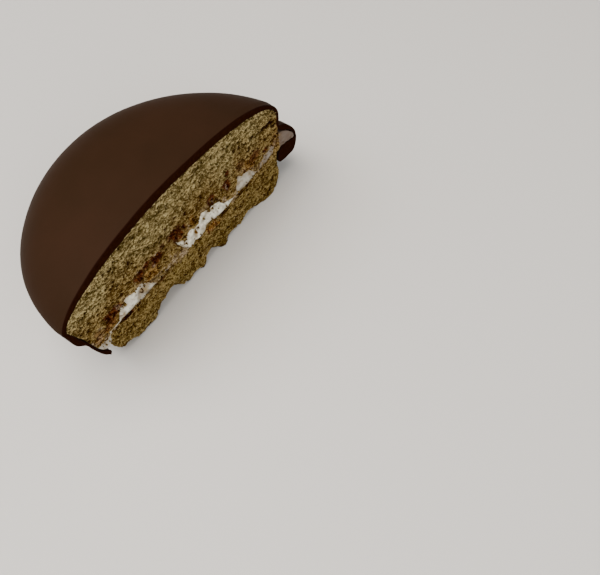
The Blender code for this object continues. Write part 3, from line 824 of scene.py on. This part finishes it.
def make_lower_cake(crumb):
    """The lower cake: a flat disc half whose side is bare and rough below the coat, with a torn
    lower edge along the cut."""
    share = np.linspace(0, 1, CAKE_ALONG + 1)
    turn = math.pi * (1 - share)
    side = side_rings(LOWER_SIDE, 46, turn)
    high = chord(side[0], share)
    top = across(side[0], high, (0, 0.5, 1))
    inward = closer_at_ends(24, 0.5)
    bottom = across(side[-1], chord(side[-1], share), inward)
    sheets = [top, side, bottom]
    for sheet in sheets:
        torn = read_off(TORN_EDGE, sheet[..., 0])
        torn = torn + 0.25 * (1 + waves(sheet * (1, 0.3, 0), 1.8, 71))
        torn *= np.clip(1 - sheet[..., 1] / TORN_DEPTH, 0, 1)
        sheet[..., 2] += torn * (1 - sheet[..., 2] / LOWER_TOP)
    sheets.append(cut_face(side, bottom[-1], high, share, LOWER_DOWN, 4))
    tones = []
    for i, sheet in enumerate(sheets):
        push, height = crumble(sheet, 80)
        on_cut = near_cut(sheet)
        exposed = np.ones(push.shape)
        if i != 3:
            exposed = np.clip(sheet[..., 2] / 0.6, 0, 1) * ease((LOWER_TOP - sheet[..., 2]) / 1.5)
            exposed = np.maximum(exposed, on_cut)
        tone = crumb_tones(sheet, height)
        tone["warmth"] = 0.5 + 0.5 * waves(sheet, 6.0, 82)
        outward = sheet * (1, 1, 0) / np.maximum(np.hypot(sheet[..., 0], sheet[..., 1]), 1)[..., None]
        way = on_cut[..., None] * np.array((0, 1, 0)) - (1 - on_cut[..., None]) * outward
        if i == 2:
            off_rim = ease(inward / 0.1)[:, None]
            sheet[..., 2] += off_rim * (1 - on_cut) * np.clip(push, 0, None)
        low_down = ease((OUT_TOP - sheet[..., 2]) / OUT_FADE)
        out = on_cut * read_off(OUTSTANDING, sheet[..., 0]) * low_down
        sheet += ((0.9 - OUT_CALM * out) * push * exposed)[..., None] * way
        sheet[..., 1] -= out
        sheet[..., 1] = np.maximum(sheet[..., 1], -LOWEST_TORN_CRUMB)
        tones.append(tone)
    return surface("lower_crumb", sheets, [crumb] * 4, by_name(tones))


def open_depth(sheet):
    """Distance in from the edge of the open marshmallow, less than 0 under crumb."""
    shown = np.max([depth_inside(sheet, outline) for outline in SHOWING], axis=0)
    for x, z, half_width, half_height in LUMPS:
        away = np.hypot((sheet[..., 0] - x) / half_width, (sheet[..., 2] - z) / half_height)
        shown = np.minimum(shown, (away - 1) * half_width)
    return shown


def open_share(sheet):
    """From 0 under crumb to 1 on open marshmallow, over about half a millimetre."""
    ragged = 0.3 * waves(sheet * (1, 0, 1), 1.0, 94)
    return ease(0.5 + (open_depth(sheet) + ragged) / 0.5)


def make_marshmallow(filling):
    """The marshmallow: a level layer that bulges to the coat at the far end and runs down at the
    near end, pitted with small holes on the cut. Painted shade greys it, most towards the far end."""
    share = closer_at_ends(CAKE_ALONG, 0.88)
    turn = math.pi * (1 - share)
    side = side_rings(MARSHMALLOW_SIDE, MARSHMALLOW_DOWN, turn)
    top = layer_top(side[0], share, 0.25)
    top[0] = side[0]
    bottom = across(side[-1], chord(side[-1], share), (0, 0.5, 1))
    face = cut_face(side, bottom[-1], top[-1], share, MARSHMALLOW_DOWN, 60)
    sheets = [top, side, bottom, face]
    stains = []
    for sheet in sheets:
        near = near_cut(sheet)
        flat = sheet * (1, 0, 1)
        holes = bubbles(flat, 2.4, 0.1, 0.7, 91)
        rolling = 0.3 * waves(flat * (0.5, 1, 1), 2.5, 92) + 0.12 * waves(flat * (0.6, 1, 1), 0.9, 96)
        rim = open_depth(sheet)
        covered = 0.5 * (1 - ease((rim + 0.6) / 0.5))
        sheet[..., 1] += near * (0.25 + 0.8 * holes - rolling - 0.3 * ease(rim / 1.5) + covered)
        specks = ease((waves(flat, 1.1, 93) - 0.36) / 0.15)
        rubbed = ease((waves(flat * (1, 1, 0.4) + (0.4, 0, 0) * sheet[..., 2:], 0.9, 97) - 0.05) / 0.4)
        stain = 0.4 * (1 - ease((rim - 0.1) / 0.7)) + 0.55 * specks + 0.42 * rubbed
        stain = stain * (1 - 0.8 * ease((sheet[..., 0] - CLEAN_FROM) / 1.5))
        stains.append(near * np.clip(stain + 0.3 * holes, 0, 1))
    # Painted shade: how far the white is greyed at each x.
    dull = [read_off(MARSHMALLOW_SHADE, sheet[..., 0]) for sheet in sheets]
    return surface("marshmallow_filling", sheets, [filling] * 4, {"stain": stains, "dull": dull})


def make_dragged_crumb(crumb):
    """Crumb that the knife dragged over the marshmallow's edge: one thin slab along the strip,
    rough in front, which sinks behind the marshmallow where that lies open."""
    z = np.linspace(25.2, 11.0, DRAGGED_DOWN + 1)[:, None]
    near = np.interp(z, (11.0, 14.0, 17.0, 21.0, 25.2), (-43.2, -44.4, -45.1, -46.3, -47.4))
    x = near + (41.8 - near) * np.linspace(0, 1, DRAGGED_ALONG + 1)
    front = np.stack([x, 0 * x, z + 0 * x], axis=-1)
    push, height = crumble(front, 40)
    sunk = np.maximum(open_share(front), 1 - ease((depth_inside(front, DRAGGED) + 0.3) / 0.8))
    tone = crumb_tones(front, height, 0.2)
    front[..., 1] = (1 - sunk) * (0.9 * push - 0.3) + SUNK_CRUMB * sunk
    front[..., 1] = np.maximum(front[..., 1], -LOWEST_CRUMB)
    back = front * (1, 0, 1) + (0, SUNK_CRUMB + DRAGGED_BACK, 0)
    part = np.linspace(0, 1, 3)[:, None, None]
    rim = np.vstack([front[0], front[1:, -1], front[-1, -2::-1], front[-2::-1, 0]])
    far = np.vstack([back[0], back[1:, -1], back[-1, -2::-1], back[-2::-1, 0]])
    sheets = [front, back, rim * (1 - part) + far * part]
    tones = [tone, {label: 0 * values for label, values in tone.items()}]
    tones.append({label: np.zeros(sheets[2].shape[:2]) for label in tone})
    return surface("dragged_crumb", sheets, [crumb] * 3, by_name(tones))


def make_crumbs(crumb):
    """Loose crumbs on the cut: each is a small ball, drawn out and dented by waves."""
    rng = np.random.default_rng(7)
    spots = []
    for (x0, x1), (z0, z1), count, size in LOOSE_CRUMBS:
        x = rng.uniform(x0, x1, count)
        z = rng.uniform(z0, z1, count)
        size = size * rng.uniform(0.5, 1.25, count)
        spots.append(np.stack([x, -0.1 - 0.5 * size, z, size], axis=-1))
    spots = np.concatenate(spots)[:, None, None, :]
    lean = np.linspace(0, math.pi, 10)[:, None]
    turn = np.linspace(0, 2 * math.pi, 15)[None, :]
    ball = np.stack([
        np.sin(lean) * np.cos(turn), np.sin(lean) * np.sin(turn), np.cos(lean) + 0 * turn,
    ], axis=-1)
    shape = ball * rng.uniform(0.6, 1.2, (len(spots), 1, 1, 3))
    apart = 13 * np.arange(len(spots))[:, None, None, None]
    dents = 1 + 0.7 * waves(shape + apart, 0.8, 95, 3)[..., None]
    grid = spots[..., :3] + shape * dents * spots[..., 3:]
    grid[:, :, -1] = grid[:, :, 0]
    grid[:, 0] = grid[:, 0, :1]
    grid[:, -1] = grid[:, -1, :1]
    grid[..., 1] = np.maximum(grid[..., 1], -LOWEST_CRUMB)
    sheets = list(grid)
    # Height from the dents: painted shade in them and a painted highlight on the bulges.
    tones = [
        crumb_tones(sheet, 0.1 + 0.5 * dent[..., 0], 0.3) for sheet, dent in zip(sheets, dents)
    ]
    return surface("loose_crumbs", sheets, [crumb] * len(sheets), by_name(tones))


def add_camera():
    """The camera looks down on the near end of the cut, a little turned about its own axis."""
    forward = Vector(CAMERA_FORWARD).normalized()
    turn = math.radians(CAMERA_TURN)
    level = Vector((math.cos(turn), -math.sin(turn), 0))
    upright = level.cross(forward)
    roll = math.radians(CAMERA_ROLL)
    right = math.cos(roll) * level + math.sin(roll) * upright
    above = math.cos(roll) * upright - math.sin(roll) * level
    camera = bpy.data.cameras.new("camera")
    camera.sensor_width = SENSOR
    camera.lens = LENS
    holder = bpy.data.objects.new("camera", camera)
    turned = Matrix((right, above, -forward)).transposed().to_4x4()
    holder.matrix_world = Matrix.Translation(placed(np.array(CAMERA_PLACE))[0]) @ turned
    bpy.context.scene.collection.objects.link(holder)
    bpy.context.scene.camera = holder


def add_lamp(name, place, size, power, colour="#ffffff"):
    """A square soft lamp at a place, in metres, that faces the food."""
    lamp = bpy.data.lights.new(name, "AREA")
    lamp.size = size
    lamp.energy = power
    lamp.color = linear(colour)[:3]
    holder = bpy.data.objects.new(name, lamp)
    holder.location = place
    holder.rotation_euler = (Vector(LAMP_TARGET) - Vector(place)).to_track_quat("-Z", "Y").to_euler()
    bpy.context.scene.collection.objects.link(holder)


def add_studio():
    """A pale floor, a soft sky and three soft lamps."""
    floor_mesh = bpy.data.meshes.new("floor")
    corners = [(x * FLOOR_HALF, y * FLOOR_HALF, 0) for x, y in ((-1, -1), (1, -1), (1, 1), (-1, 1))]
    floor_mesh.from_pydata(corners, [], [(0, 1, 2, 3)])
    floor_mesh.materials.append(pale_floor())
    floor = bpy.data.objects.new("floor", floor_mesh)
    bpy.context.scene.collection.objects.link(floor)
    world = bpy.data.worlds.new("studio")
    world.use_nodes = True
    background = world.node_tree.nodes["Background"]
    background.inputs["Color"].default_value = linear("#e8ebee")
    background.inputs["Strength"].default_value = 0.2
    bpy.context.scene.world = world
    add_lamp("key_lamp", (-0.26, 0.2, 0.93), 1.0, 18.0, "#fff8f0")
    add_lamp("fill_lamp", (-0.25, -0.6, 0.5), 0.6, 3.6)
    add_lamp("sheen_lamp", (-0.58, 0.55, 0.5), 0.6, 2.2, "#eaf1ff")


def main():
    add_camera()
    add_studio()
    coat = make_coat(chocolate_coating(), broken_chocolate())
    # Each tone: painted shade in the bubbles, painted shade on the crumb, the crumb's own tone and a
    # painted highlight on the tips.
    warm = ("#1f0900", "#3c2404", "#5d471b", "#9c8656")
    upper_sponge = cake_crumb("upper_sponge", ("#261400", "#4d3f12", "#6f5f3b", "#b7a573"), warm)
    lower_sponge = cake_crumb("lower_sponge", ("#200900", "#3c2603", "#5e4a19", "#97834e"), warm)
    upper = make_upper_cake(upper_sponge)
    lower = make_lower_cake(lower_sponge)
    filling = make_marshmallow(whipped_marshmallow())
    dragged = make_dragged_crumb(upper_sponge)
    crumbs = make_crumbs(upper_sponge)
    for piece, node_name, slot in (
        (coat, "coat", "chocolate"), (upper, "upper_cake", "upper_crumb"),
        (lower, "lower_cake", "lower_crumb"), (filling, "marshmallow", "marshmallow"),
    ):
        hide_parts(node_name)


main()
